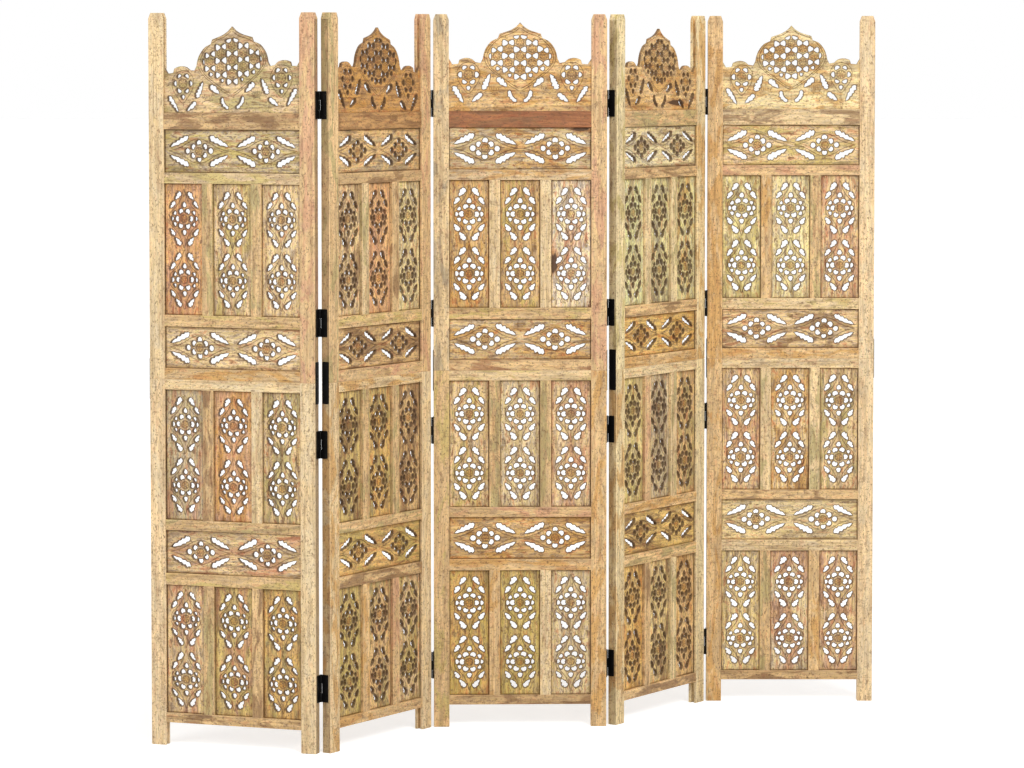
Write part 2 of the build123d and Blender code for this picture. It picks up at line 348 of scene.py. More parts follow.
def petal_hole(x, z, toward, radius, rng):
    """A round hole with a notch in the side that faces the flower."""
    heading = atan2(toward[1] - z, toward[0] - x) + rng.uniform(-0.15, 0.15)
    r = radius * rng.uniform(0.94, 1.06)
    return rayed(x, z, [(a + heading, r * (1 - 0.58 * max(0.0, cos(a)) ** 6) * rng.uniform(0.95, 1.05))
                        for a in loop(14)])


def bean(x, z, long, short, degrees, rng, n=10):
    k = rng.uniform(0.9, 1.1)
    shape = [(long / 2 * k * cos(a), short / 2 * k * sin(a) + 0.12 * short * cos(2 * a))
             for a in loop(n)]
    return turned(shape, degrees + rng.uniform(-7, 7), x, z)


def trefoil(x, z, radius, toward, rng):
    """A three-lobed hole whose hollows face the flowers round it."""
    heading = atan2(toward[1] - z, toward[0] - x)
    r = radius * rng.uniform(0.93, 1.07)
    return rayed(x, z, [(a, r * (1 - 0.17 * cos(3 * (a - heading))) * rng.uniform(0.94, 1.06))
                        for a in loop(12, heading)])


def spade(x, z, size, up, rng):
    """A small trefoil: two lobes and a point."""
    shape = []
    for a in loop(15, pi / 2):
        r = 0.5 * (0.80 + 0.20 * abs(cos(1.5 * (a - pi / 2))) ** 0.7)
        shape.append((size * r * cos(a) * 1.05, size * r * sin(a) * (1.22 if sin(a) > 0.6 else 1.0)))
    p = turned(shape, rng.uniform(-5, 5), 0, 0)
    p[:, 1] *= up
    return p + (x, z)


# A leaf's outline: how far along, and how far to the side in widths. Its toothed side is first.
LONG_LEAF = (
    (0, 0.06), (0.10, 0.28), (0.22, 0.44), (0.29, 0.28), (0.42, 0.58), (0.50, 0.36), (0.62, 0.68),
    (0.70, 0.42), (0.82, 0.68), (0.89, 0.44), (0.97, 0.42), (1, 0.08), (0.95, -0.20), (0.86, -0.46),
    (0.76, -0.30), (0.67, -0.52), (0.54, -0.30), (0.42, -0.42), (0.26, -0.22), (0.12, -0.16))
SMALL_LEAF = (
    (0, 0.0), (0.10, 0.24), (0.25, 0.44), (0.36, 0.30), (0.45, 0.58), (0.65, 0.74), (0.73, 0.50),
    (0.82, 0.66), (0.96, 0.46), (1.02, 0.10), (0.97, -0.20), (0.84, -0.46), (0.66, -0.36),
    (0.52, -0.48), (0.30, -0.30), (0.12, -0.20))
BENT_LEAF = (  # narrow, and bent to one side
    (0, -0.16), (0.06, 0.22), (0.20, 0.50), (0.30, 0.40), (0.44, 0.76), (0.55, 0.58), (0.70, 0.74),
    (0.80, 0.48), (0.92, 0.36), (1, -0.02), (0.97, -0.34), (0.86, -0.42), (0.70, -0.22),
    (0.50, -0.12), (0.30, -0.20), (0.12, -0.44))


def leaf(start, end, width, shape, flip, rng):
    """A leaf's outline from start to end; flip is the side that its teeth are on."""
    a = np.array(start, float) + rng.uniform(-0.6, 0.6, 2)
    b = np.array(end, float) + rng.uniform(-0.6, 0.6, 2)
    axis = b - a
    side = flip * np.array([-axis[1], axis[0]]) / norm(axis)
    w = width * rng.uniform(0.92, 1.08)
    return [a + axis * t + side * w * h * rng.uniform(0.88, 1.12) for t, h in shape]


def smooth_path(points, pieces=5):
    """A Catmull-Rom line through the points."""
    p = [np.array(q, float) for q in points]
    p = [2 * p[0] - p[1], *p, 2 * p[-1] - p[-2]]
    out = []
    for i in range(1, len(p) - 2):
        for k in range(pieces):
            t = k / pieces
            out.append(0.5 * (2 * p[i] + (p[i + 1] - p[i - 1]) * t
                              + (2 * p[i - 1] - 5 * p[i] + 4 * p[i + 1] - p[i + 2]) * t * t
                              + (3 * p[i] - p[i - 1] - 3 * p[i + 1] + p[i + 2]) * t ** 3))
    out.append(p[-2])
    return np.array(out)


def along_runs(points, start, run):
    """How far along each run each point's foot is, from 0 to 1, and its distance from there."""
    size = np.maximum((run ** 2).sum(1), TINY)
    t = np.clip(((points[:, None] - start) * run).sum(2) / size, 0, 1)
    return t, norm(points[:, None] - (start + t[..., None] * run), axis=2)


def nearest(points, outlines, reach):
    """How far each point is from the nearest of some closed outlines, up to a reach."""
    out = np.full(len(points), float(reach))
    for start in outlines:
        inside = (points > start.min(0) - reach) & (points < start.max(0) + reach)
        close = inside.all(1).nonzero()[0]
        gap = along_runs(points[close], start, np.roll(start, -1, 0) - start)[1]
        out[close] = np.minimum(out[close], gap.min(1))
    return out


class Carving:
    """Collects a board's outlines, then cuts and carves them in one triangulation."""

    SOFT = 0.55  # the chamfer round each hole
    NEAR, RIM = 1.5, 2.9  # how far the painted shade round each hole is thick, and how far it reaches
    # Painted shade round each hole, at its cut edge, in the grooves and on the holes' walls; the
    # boards' backs are a little darker.
    RIM_DIRT, CUT_DIRT, BACK_DIRT, GROOVE_DIRT = 0.92, 0.8, 0.15, 0.85
    # A flower's rings: share of its radius, and level in mm, or None on its petals' ridges.
    RINGS = ((1.16, 0.0), (1.0, -1.0), (0.74, None), (0.5, None), (0.3, -0.6), (0.2, 0.1))
    RUST = (0.88, 0.74, 0.56)  # what stays of the wood's colour on a flower

    def __init__(self, outline):
        self.points, self.level, self.dark = [], [], []
        self.edges, self.cuts, self.grooves, self.flowers = [], [], [], []
        self.outline = anticlockwise(outline)

    def put(self, points, level, dark):
        first = len(self.points)
        self.points += [tuple(p) for p in points]
        self.level += list(np.broadcast_to(level, len(points)))
        self.dark += list(np.broadcast_to(dark, len(points)))
        return list(range(first, first + len(points)))

    def ring(self, ids, closed=True):
        self.edges += list(zip(ids, ids[1:] + ids[:1] if closed else ids[1:]))

    def hole(self, points):
        self.cuts.append(anticlockwise(points))

    def groove(self, points, width, depth, closed=False):
        p = np.asarray(points, float)
        n = len(p)
        half = np.full(n, width / 2)
        deep = np.full(n, depth)
        if not closed:
            half[0] = half[-1] = deep[0] = deep[-1] = 0.0
        self.grooves.append((p, half, deep, closed))

    def flower(self, x, z, radius, petals, height=0.9, turn=0.0):
        self.flowers.append((x, z, radius, petals, height, turn))

    def sunk(self, points):
        """How deep the grooves are at these points."""
        out = np.zeros(len(points))
        for p, half, deep, closed in self.grooves:
            used = slice(None if closed else -1)
            start, h1, d1 = p[used], half[used], deep[used]
            end, h2, d2 = (np.roll(v, -1, 0)[used] for v in (p, half, deep))
            t, gap = along_runs(points, start, end - start)
            half_at = h1 + (h2 - h1) * t
            depth = (d1 + (d2 - d1) * t) * np.clip(1 - gap / np.maximum(half_at, 1e-6), 0, 1)
            out = np.maximum(out, depth.max(1))
        return out

    def put_grooves(self):
        for p, half, deep, closed in self.grooves:
            # Painted shade along a groove, darkest at its deep middle; its rims get a little.
            centre = self.put(p, -deep, deep / max(deep.max(), 1e-6) * self.GROOVE_DIRT)
            self.ring(centre, closed)
            step = np.roll(p, -1, 0) - np.roll(p, 1, 0)
            if not closed:
                step[0], step[-1] = p[1] - p[0], p[-1] - p[-2]
            side = np.stack([-step[:, 1], step[:, 0]], 1)
            side /= np.maximum(norm(side, axis=1), TINY)[:, None]
            for sign in (-1, 1):
                rim = p + sign * side * half[:, None]
                if closed:
                    self.ring(self.put(rim, 0.0, 0.1))
                else:
                    self.ring([centre[0], *self.put(rim[1:-1], 0.0, 0.1), centre[-1]], False)

    def put_flowers(self):
        for x, z, radius, petals, height, turn in self.flowers:
            angles = np.array(loop(petals * 4, turn))
            for share, top in self.RINGS:
                ring = [(x + radius * share * cos(a), z + radius * share * sin(a)) for a in angles]
                if top is None:
                    ridge = np.abs(np.cos(petals * (angles - turn) / 2)) ** 0.7
                    levels = -0.95 + (0.95 + 0.35 * height) * ridge * (0.85 if share > 0.6 else 1.0)
                else:
                    levels = np.full(len(angles), top * (height if top > 0 else 1.0))
                # Painted shade: darker the deeper a ring lies, with some on the outer ring and at the
                # middle.
                dark = np.clip(0.08 - levels * 0.72, 0, 0.85) if share < 1.1 else 0.35
                self.ring(self.put(ring, levels, dark))
            self.put([(x, z)], 0.35 * height, 0.25)

    def build(self, x0, z0, pieces, grown, border, border_depth, shaded=0):
        """Makes the board; shaded is the side, -1 or 1, whose border gets more painted shadow."""
        self.border, self.border_depth = border, border_depth
        side = np.sign(self.outline[:, 0]) * shaded > 0
        # Painted shadow along the border, as cast by the frame, wider and darker on the shaded side.
        outline_ids = self.put(self.outline, -border_depth, np.where(side, 0.95, 0.8))
        inner = np.where(side, 0.42, 0.05) if shaded else 0.05
        self.ring(self.put(grown_by(self.outline, -border), 0.0, inner))
        cut_ids = []
        for cut in self.cuts:
            # Painted shade at each hole's cut edge and, less, on its chamfer.
            cut_ids.append(self.put(cut, -self.SOFT, self.CUT_DIRT))
            self.ring(self.put(grown_by(cut, self.SOFT), 0.0, 0.22))
        back = (list(self.points), list(self.edges))
        for cut in self.cuts:
            for reach in (self.NEAR, self.RIM):
                self.ring(self.put(grown_by(cut, reach), 0.0, 0.0))
        self.put_grooves()
        fixed = len(self.points)
        self.put_flowers()
        places, tris, level, dark = self.cut_sheet(
            self.points, self.edges, outline_ids, cut_ids, fixed)
        rear, rear_tris, rear_level, _ = self.cut_sheet(*back, outline_ids, cut_ids, None)
        n = len(places)
        y_back = BOARD_BACK - np.clip(-rear_level, 0, self.SOFT)
        solid = [(x0 + p[0], y, z0 + p[1]) for p, y in zip(places, BOARD_FRONT - level)]
        solid += [(x0 + p[0], y, z0 + p[1]) for p, y in zip(rear, y_back)]
        # The back gets painted shade at the holes' chamfers and is a little darker elsewhere.
        dirt = [*dark, *np.where(rear_level < -TOUCH, self.CUT_DIRT, self.BACK_DIRT)]
        faces = [tuple(t) for t in tris] + [tuple(n + i for i in reversed(t)) for t in rear_tris]
        # The sides join the front's open edges to the back's points, or to new ones.
        where = {(round(p[0], 3), round(p[1], 3)): n + i for i, p in enumerate(rear)}
        sides = {(t[i], t[(i + 1) % 3]) for t in tris for i in range(3)}
        for a, b in sides:
            if (b, a) not in sides:
                pair = []
                for x, z in (places[a], places[b]):
                    key = (round(x, 3), round(z, 3))
                    if key not in where:
                        where[key] = len(solid)
                        solid.append((x0 + x, BOARD_BACK - self.SOFT, z0 + z))
                        # Painted shade on the holes' walls.
                        dirt.append(self.GROOVE_DIRT)
                    pair.append(where[key])
                faces.append((b, a, *pair))
        centres = places[np.array(tris)].mean(1)
        in_flower = np.zeros(len(tris), bool)
        tint = np.ones((len(solid), 3))
        for x, z, radius, *_ in self.flowers:
            reach = radius * 1.17
            in_flower |= np.hypot(centres[:, 0] - x, centres[:, 1] - z) < reach
            tint[:n][np.hypot(places[:, 0] - x, places[:, 1] - z) < reach * 0.9] = self.RUST
        smooth = in_flower.tolist() + [False] * (len(faces) - len(tris))
        pieces.add(solid, faces, dirt, grown, smooth, tint)

    def cut_sheet(self, points, edges, outline_ids, cut_ids, fixed):
        """Triangles in the outline and in no hole, with each vertex's level and painted shade."""
        verts, _, faces, from_vert, _, from_face = delaunay_2d_cdt(
            [Vector(p) for p in points], edges, [outline_ids, *cut_ids], 1, 1e-5, True)
        places = np.array([tuple(v) for v in verts])
        level = np.zeros(len(places))
        dark = np.zeros(len(places))
        fresh = []
        for i, sources in enumerate(from_vert):
            if sources:
                level[i] = min(self.level[s] for s in sources)
                dark[i] = max(self.dark[s] for s in sources)
                if fixed is not None and all(s < fixed for s in sources):
                    fresh.append(i)
            elif fixed is not None:
                fresh.append(i)
        if fresh and self.grooves:
            depth = self.sunk(places[fresh])
            level[fresh] = np.minimum(level[fresh], -depth)
            # Painted shade, darker where the grooves are deeper.
            dark[fresh] = np.maximum(dark[fresh], np.minimum(depth, 1) * self.CUT_DIRT)
        gap = nearest(places, self.cuts, self.RIM)
        rim = nearest(places, [self.outline], self.border)
        level = np.minimum(level, -self.SOFT * np.clip(1 - gap / self.SOFT, 0, 1))
        level = np.minimum(level, -self.border_depth * np.clip(1 - rim / self.border, 0, 1))
        if fixed is not None:
            # Painted shade in a ring round each hole, fading out between NEAR and RIM.
            fade = np.clip(1 - (gap - self.NEAR) / (self.RIM - self.NEAR), 0, 1)
            dark = np.maximum(dark, self.RIM_DIRT * fade)
        keep = [f for f, s in zip(faces, from_face) if s == [0]]
        return places, keep, level, dark


# ---- The three patterns
MEDALLION = 68.7  # from a tall board's middle to its two medallions
MOTIF = 81.0  # from a band's middle to its two flowers
WAYS = (-1, 1)
PETALS = ((16.6, 0), (-16.6, 0), (8.3, 16.2), (-8.3, 16.2), (8.3, -16.2), (-8.3, -16.2))
BEANS = ((28.8, 0, 11, 7, 90), (23.2, 12.6, 9.6, 7.4, 125), (23.2, -12.6, 9.6, 7.4, 55))
LEAVES = ((22.8, 42.2, 8.2, 58.4, 10.2), (34.6, 22.8, 22.4, 37.2, 8.8))
BAND_PETALS = ((0, 18.3), (0, -18.3), (13.9, 9.6), (-13.9, 9.6), (13.9, -9.6), (-13.9, -9.6))
BORDER, BORDER_DEPTH = 3.2, 1.6  # of the tall and band boards
CREST_BORDER = 0.8


def ogee(reach_x, reach_z, swell=1.0):
    """One side of the pointed outline round a medallion, from its foot to its top."""
    path = [(0, -reach_z), (2.6, -0.88 * reach_z), (6, -0.71 * reach_z), (12, -0.53 * reach_z),
            (21, -0.36 * reach_z), (reach_x * swell, -0.18 * reach_z), (reach_x, 0)]
    path += [(x, -z) for x, z in reversed(path[:-1])]
    return smooth_path(path, 3)


def petal_holes(board, places, x, z, radius, rng):
    """The notched holes round a flower."""
    for px, pz in places:
        jx, jz = rng.uniform(-0.6, 0.6, 2)
        board.hole(petal_hole(x + px + jx, z + pz + jz, (x, z), radius, rng))


def blank(width, height):
    """An uncut board, which reaches into the grooves round its opening."""
    x, z = width / 2 + TUCK, height / 2 + TUCK
    return Carving([(-x, -z), (x, -z), (x, z), (-x, z)])


def tall_board(height, rng):
    """Two medallions, eight leaves round each, and small fans at the middle of the sides."""
    board = blank(COLUMN, height)
    for cz in (-MEDALLION, MEDALLION):
        petal_holes(board, PETALS, 0, cz, 6.3, rng)
        for x, z, long, short, turn in BEANS:
            for side in WAYS:
                board.hole(bean(side * x, cz + z, long, short, turn if side > 0 else 180 - turn, rng))
        board.hole(spade(0, cz + 30.2, 11, 1, rng))
        board.hole(spade(0, cz - 30.6, 11, -1, rng))
        for side in WAYS:
            for up in WAYS:
                for x0, z0, x1, z1, width in LEAVES:
                    board.hole(leaf((side * x0, cz + up * z0), (side * x1, cz + up * z1), width,
                                    SMALL_LEAF, -side * up, rng))
            board.groove([(side * x, cz + z) for x, z in ogee(33.9, MEDALLION - 0.6)], 2.8, 1.1)
        board.flower(0, cz, 8.4, 6, 1.0, rng.uniform(0, 1))
    for side in WAYS:
        for z in (-7, -3.5, 0, 3.5, 7):
            ray = [(side * (43 - abs(z) * 0.5), z * 1.3), (side * 35, z),
                   (side * (27 + abs(z)), z * 0.8)]
            board.groove(ray, 2.4, 0.8)
    return board


def band_board(height, rng):
    """Two flowers in almonds, four long leaves round each, and fans at the middle."""
    board = blank(OPENING, height)
    rim = [(-76, 0), (-60, 3), (-40, 10), (-20, 22), (0, 27.5)]
    rim = smooth_path([*rim, *((-x, z) for x, z in reversed(rim[:-1]))], 3)
    for cx in (-MOTIF, MOTIF):
        petal_holes(board, BAND_PETALS, cx, 0, 6.2, rng)
        for x in (-28, 28):
            board.hole(disc(cx + x, rng.uniform(-0.8, 0.8), 6.2, rng))
        for way in WAYS:
            for up in WAYS:
                board.hole(leaf((cx + way * 70.5, up * 9.2), (cx + way * 24.5, up * 31.0), 12.0,
                                LONG_LEAF, -way * up, rng))
        for up in WAYS:
            board.groove([(cx + x, up * z) for x, z in rim], 2.6, 1.0)
        board.flower(cx, 0, 8.6, 6, 1.0, rng.uniform(0, 1))
    for up in WAYS:
        for x in (-6, -3, 0, 3, 6):
            ray = [(x * 0.5, up * 23), (x, up * 31), (x * 1.3, up * (38 - abs(x) * 0.5))]
            board.groove(ray, 2.0, 0.7)
    return board


# Each crest's place and lean, and from its fan's middle: flowers, three-lobed holes and fillers.
CREST_DROPS = {1: 12.0, 2: 13.0, 3: 0.0, 4: 13.0, 5: 4.0}
CREST_LEANS = {1: 0.056, 2: -0.04, 3: 0.0, 4: -0.04, 5: 0.025}
FAN_MIDDLE = {1: 129.5, 2: 131.0, 3: 127.0, 4: 130.5, 5: 131.0}
FAN_FLOWERS = ((0, 31.5), (27.5, 16), (-27.5, 16), (54, 0), (0, 0), (-54, 0), (27.5, -15.5),
               (-27.5, -15.5), (0, -31))
FAN_HOLES = ((8.8, 14.8), (8.6, -16.2), (18.9, 0.3), (36, 0.3), (19.4, 31), (35.2, 30), (18, -31.5),
             (35.2, -31.6), (45.6, 16.2), (45.2, -15.8), (60.8, 13.2), (62, -15.8), (8.6, -47.8))
FAN_FILLERS = ((51.3, -28.6, 9, 8, 30), (23.9, -43.9, 7.6, 7.2, 0), (68.6, -0.6, 12.4, 5, 90),
               (8.4, 43.9, 14, 7.6, -18))
CREST_LEAVES = (
    (30.5, 56.5, 54.0, 74.5, 11.0, SMALL_LEAF, 1), (10.5, 21, 27.0, 47.0, 9.8, BENT_LEAF, -1),
    (69, 85, 85, 49.8, 12.4, LONG_LEAF, 1), (110.5, 22.5, 88.5, 41, 9.8, SMALL_LEAF, 1),
    (130, 20.5, 153.5, 58, 10.4, LONG_LEAF, -1))
CREST_RUST = (0.97, 0.90, 0.78)


def crest_board(n, rng):
    """The arched board: a fan of nine flowers, a lobe with one flower at each side, and leaves."""
    inner, foot, lean, up = OPENING / 2, CREST_DROPS[n], CREST_LEANS[n], FAN_MIDDLE[n]
    seat = inner + CREST_SEAT

    def leaning(points):
        p = np.array(points, float)
        p[:, 1] += lean * p[:, 0]
        return p

    tip = smooth_path([(0, 204), (9, 194.5), (21, 187), (33, 182.5), (47.5, 178)], 2)
    shoulder = smooth_path([(51, 168), (66, 161), (77, 148), (83, 135), (86, 121)], 3)
    lobe = smooth_path([(103, 113), (111, 120), (122, 122.7), (132, 121.5), (140, 118)], 2)
    half = [*tip, *shoulder, (91, 111), *lobe, (142.5, 109), (156, 108), (inner, 121), (seat, 121)]
    arch = leaning([*half, *((-x, z) for x, z in reversed(half[1:]))])
    right = len(half)
    board = Carving([*arch[:right], (seat, foot), (-seat, foot), *arch[right:]])
    fan = leaning([(x, up + z) for x, z in FAN_FLOWERS])
    for x, z in fan:
        board.flower(x, z, 8.6, 6, 1.1, rng.uniform(0, 1))
    for side in WAYS:
        for x, z in leaning([(side * x, up + z) for x, z in FAN_HOLES]):
            near = min(fan, key=lambda f: hypot(f[0] - x, f[1] - z))
            board.hole(trefoil(x, z, min(6.3, hypot(near[0] - x, near[1] - z) - 9.4), near, rng))
        for x, z, long, short, turn in FAN_FILLERS:
            at = leaning([(side * x, up + z)])[0]
            board.hole(bean(*at, long, short, side * turn, rng))
        for x0, z0, x1, z1, width, shape, flip in CREST_LEAVES:
            start, end = leaning([(side * x0, z0), (side * x1, z1)])
            board.hole(leaf(start, end, width, shape, side * flip, rng))
        cx, cz = leaning([(side * 119, 84)])[0]
        for a in loop(6):
            board.hole(bean(cx + 18.6 * cos(a), cz + 18.6 * sin(a), 12.2, 8.2, 90 + a * 180 / pi, rng))
        board.hole(spade(cx, cz - 30, 8.6, -1, rng))
        board.flower(cx, cz, 10.4, 8, 1.1, rng.uniform(0, 1))
        for x in (-12, -7, -2.4, 2.4, 7, 12):
            ray = [(side * 60 + x * 0.35, 40), (side * 60 + x * 0.9, 52),
                   (side * 60 + x, 67 - abs(x) * 0.6)]
            board.groove(leaning(ray), 2.6, 0.9)
        base = [(side * 60 + 9 * cos(a), 38 + 5 * sin(a)) for a in np.linspace(0, pi, 8)]
        board.groove(leaning(base), 2.4, 0.9)
        for gap, depth in ((0, 1.1), (5.5, 0.8)):
            rim = smooth_path([(0, 65 + gap), (18, 52.5 + gap), (43, 43 + gap), (62 + gap, 28),
                               (74 + gap, 10), (76.5 + gap, -8), (66 + gap, -28), (42, -48 - gap),
                               (18, -66 - gap), (0, -76 - gap)], 3)
            board.groove(leaning([(side * x, up + z) for x, z in rim]), 2.6, depth)
        lobe_rim = smooth_path([(0, 29), (15, 24), (26, 8), (24, -13), (12, -32), (0, -44), (-12, -32),
                                (-24, -13), (-26, 8), (-15, 24), (0, 29)], 3)[:-1]
        lobe_rim = [(cx + side * x, cz + z - lean * cx) for x, z in lobe_rim]
        board.groove(leaning(lobe_rim), 2.6, 0.9, True)
    board.RUST = CREST_RUST
    return board


# ---- Materials
LIGHTER, DEEPER, RUBBED = (1.24, 1.23, 1.20), (0.46, 0.38, 0.31), (1.3, 1.32, 1.35)
HUES = ((0.36, (0.88, 0.60, 0.44)), (0.43, (1.06, 1.02, 0.96)), (0.50, (1.06, 1.04, 0.66)),
        (0.55, (1.02, 0.98, 0.96)), (0.62, (0.66, 0.66, 0.70)), (0.70, (0.62, 0.52, 0.30)))
# The second colour is the one painted shade darkens towards.
BLOTCH, GRIME, SAW_MARK = (0.20, 0.10, 0.045), (0.095, 0.048, 0.02), (0.17, 0.085, 0.04)
SPECK, PORE = (0.11, 0.052, 0.022), (0.13, 0.06, 0.025)
KNOT, KNOT_RING, KNOT_HEART = (0.15, 0.07, 0.03), (0.42, 0.17, 0.05), (0.055, 0.022, 0.010)
STEEL, RUBBED_STEEL = (0.0045, 0.0040, 0.0040), (0.020, 0.016, 0.013)


class Nodes:
    """Short hand for the node tree of a material or a world."""

    def __init__(self, owner):
        self.owner = owner
        owner.use_nodes = True
        self.tree = owner.node_tree
        self.tree.nodes.clear()

    def done(self, shader, kind="Material"):
        self.add("Output" + kind, {"Surface": shader}, out=None)
        return self.owner

    def add(self, kind, inputs=(), out=0, **settings):
        node = self.tree.nodes.new("ShaderNode" + kind)
        for key, value in settings.items():
            setattr(node, key, value)
        for key, value in dict(inputs).items():
            self.set(node, key, value)
        return node if out is None else node.outputs[out]

    def set(self, node, key, value):
        if isinstance(value, bpy.types.NodeSocket):
            self.tree.links.new(value, node.inputs[key])
        else:
            node.inputs[key].default_value = value

    def attribute(self, name, out="Vector"):
        return self.add("Attribute", attribute_name=name, out=out)

    def math(self, operation, a, b=0.0, clamp=False):
        return self.add("Math", {0: a, 1: b}, operation=operation, use_clamp=clamp)

    def mix(self, factor, a, b, blend="MIX"):
        node = self.add("Mix", data_type="RGBA", blend_type=blend, out=None)
        self.set(node, 0, factor)
        for index, value in ((6, a), (7, b)):
            self.set(node, index, value if isinstance(value, bpy.types.NodeSocket) else (*value, 1.0))
        return node.outputs[2]

    def over(self, colour, mask, share, tint):
        """The colour under a tint, which covers it by a share where the mask says."""
        return self.mix(self.math("MULTIPLY", mask, share), colour, tint)

    def times(self, colour, tint):
        return self.mix(1.0, colour, tint, "MULTIPLY")

    def scaled(self, vector, scale):
        return self.add("VectorMath", {0: vector, 1: scale}, operation="MULTIPLY")

    def noise(self, vector, scale, detail=3.0, rough=0.55, warp=0.0, out=0):
        return self.add("TexNoise", {"Vector": self.scaled(vector, scale), "Scale": 1.0,
                                     "Detail": detail, "Roughness": rough, "Distortion": warp}, out)

    def hues(self, value, stops):
        """A colour ramp from (place, colour) stops."""
        node = self.add("ValToRGB", {0: value}, out=None)
        elements = node.color_ramp.elements
        elements.remove(elements[1])
        elements[0].position = stops[0][0]
        elements[0].color = (*stops[0][1], 1)
        for place, colour in stops[1:]:
            elements.new(place).color = (*colour, 1)
        return node.outputs[0]

    def ramp(self, value, low, high):
        return self.add("MapRange", {0: value, 1: low, 2: high}, interpolation_type="SMOOTHSTEP")


def mango_wood():
    m = Nodes(bpy.data.materials.new("mango_wood"))
    grain, tone = m.attribute("grain"), m.attribute("tone")
    dirt, mottle = m.attribute("dirt", "Fac"), m.attribute("mottle", "Fac")
    fine = m.noise(grain, (11, 330, 330), 4, 0.65)
    streak = m.noise(grain, (14, 165, 140), 3, 0.6, 0.3)
    bands = m.noise(grain, (3, 85, 65), 3, 0.6, 0.8)
    figure = m.noise(grain, (6, 30, 22), 2, 0.5, 1.8)
    colour = m.over(tone, m.ramp(figure, 0.42, 0.58), 0.9, m.times(tone, LIGHTER))
    patch = m.noise(grain, (10, 34, 30), 3, 0.6, 0.8)
    colour = m.over(colour, m.ramp(patch, 0.48, 0.58), 0.66, m.attribute("stain"))
    hue = m.hues(m.noise(grain, (34, 110, 95), 2.5, 0.6, 0.6), HUES)
    colour = m.mix(mottle, colour, m.times(colour, hue))
    strong = m.add("MapRange", {0: mottle, 3: 0.55, 4: 1.0})
    for pattern, low, high, share in ((bands, 0.46, 0.66, 0.54), (streak, 0.50, 0.62, 0.50),
                                      (fine, 0.50, 0.70, 0.40)):
        share = m.math("MULTIPLY", strong, share)
        colour = m.over(colour, m.ramp(pattern, low, high), share, m.times(colour, DEEPER))
    blotch = m.ramp(m.noise(grain, (62, 150, 130), 3, 0.65, 0.4), 0.56, 0.66)
    colour = m.over(colour, blotch, m.add("MapRange", {0: mottle, 3: 0.40, 4: 0.80}), BLOTCH)
    where = m.ramp(m.noise(grain, (9, 16, 16), 2), 0.40, 0.56)
    saw = m.ramp(m.noise(grain, (230, 72, 72), 2, 0.55), 0.55, 0.64)
    saw = m.math("MULTIPLY", saw, m.math("MULTIPLY", where, 0.32))
    colour = m.mix(saw, colour, SAW_MARK)
    speck = m.ramp(m.noise(grain, (170, 270, 270), 1.5, 0.5), 0.62, 0.69)
    colour = m.over(colour, speck, 0.62, SPECK)
    pores = m.ramp(m.noise(grain, (140, 700, 700), 1.5, 0.5), 0.62, 0.72)
    colour = m.over(colour, pores, 0.55, PORE)
    knots = m.noise(grain, (14, 26, 26), 1.0, 0.4, 0.3)
    colour = m.over(colour, m.ramp(knots, 0.79, 0.84), 0.55, KNOT)
    # The large knots, by their own attribute, with a ragged edge.
    warp = m.scaled(m.noise(grain, (40, 140, 140), 3.0, 0.5, out=1), (1.1, 1.1, 0))
    ragged = m.add("VectorMath", {0: m.attribute("knot"), 1: warp}, operation="ADD")
    reach = m.add("VectorMath", {0: ragged, 1: (0.55, 0.55, 0)}, operation="DISTANCE", out=1)
    colour = m.over(colour, m.ramp(reach, 1.5, 0.9), 0.55, KNOT_RING)
    colour = m.over(colour, m.ramp(reach, 1.0, 0.7), 0.92, KNOT_HEART)
    colour = m.mix(m.math("MULTIPLY", dirt, -0.55, clamp=True), colour, m.times(tone, RUBBED))
    # Painted shade: grooves, hole rims and walls, flowers, board borders and the stiles' outer faces go
    # darker; the boards' backs a little.
    colour = m.mix(m.math("MULTIPLY", dirt, 0.88, clamp=True), colour, GRIME)
    rough = m.add("MapRange", {0: fine, 1: 0.3, 2: 0.8, 3: 0.50, 4: 0.68})
    lift = m.math("SUBTRACT", m.math("SUBTRACT", m.math("MULTIPLY", fine, 0.5), pores), saw)
    bump = m.add("Bump", {"Height": lift, "Distance": 0.0006, "Strength": 0.55})
    return m.done(m.add("BsdfPrincipled", {
        "Base Color": colour, "Roughness": rough, "Normal": bump, "Specular IOR Level": 0.35,
        "Coat Weight": 0.05, "Coat Roughness": 0.4}))


def black_steel():
    m = Nodes(bpy.data.materials.new("black_steel"))
    place = m.add("TexCoord", out="Object")
    grit = m.noise(place, (900, 900, 900), 2, 0.6)
    rub = m.noise(place, (60, 60, 40), 3, 0.6)
    colour = m.over(STEEL, m.ramp(rub, 0.58, 0.78), 0.35, RUBBED_STEEL)
    rough = m.add("MapRange", {0: rub, 1: 0.3, 2: 0.75, 3: 0.26, 4: 0.44})
    bump = m.add("Bump", {"Height": grit, "Distance": 0.00015, "Strength": 0.4})
    return m.done(m.add("BsdfPrincipled", {
        "Base Color": colour, "Roughness": rough, "Normal": bump, "Specular IOR Level": 0.12}))


# ---- Hardware
LEAF_THICKNESS, LEAF_WIDTH, LEAF_HEIGHT, LEAF_CORNER = 1.8, 16.0, 62.0, 1.6
END_KNUCKLE, KNUCKLE_PLAY, KNUCKLE_RADIUS = 20.0, 0.3, 2.45
BORE_RADIUS, PIN_RADIUS = 1.4, 1.25
PLATE_WIDTH, PLATE_HEIGHT, PLATE_THICKNESS, PLATE_CORNER, PLATE_ROUND = 17.5, 94.0, 1.5, 2.5, 0.3
SCREW_SIDES = 16
SCREW_RINGS = ((1.0, 0.0), (0.86, 0.28), (0.62, 0.36))  # share of the radius, and height
CROSS_ARM, CROSS_BLADE, CROSS_DEPTH = 0.56, 0.13, 0.15
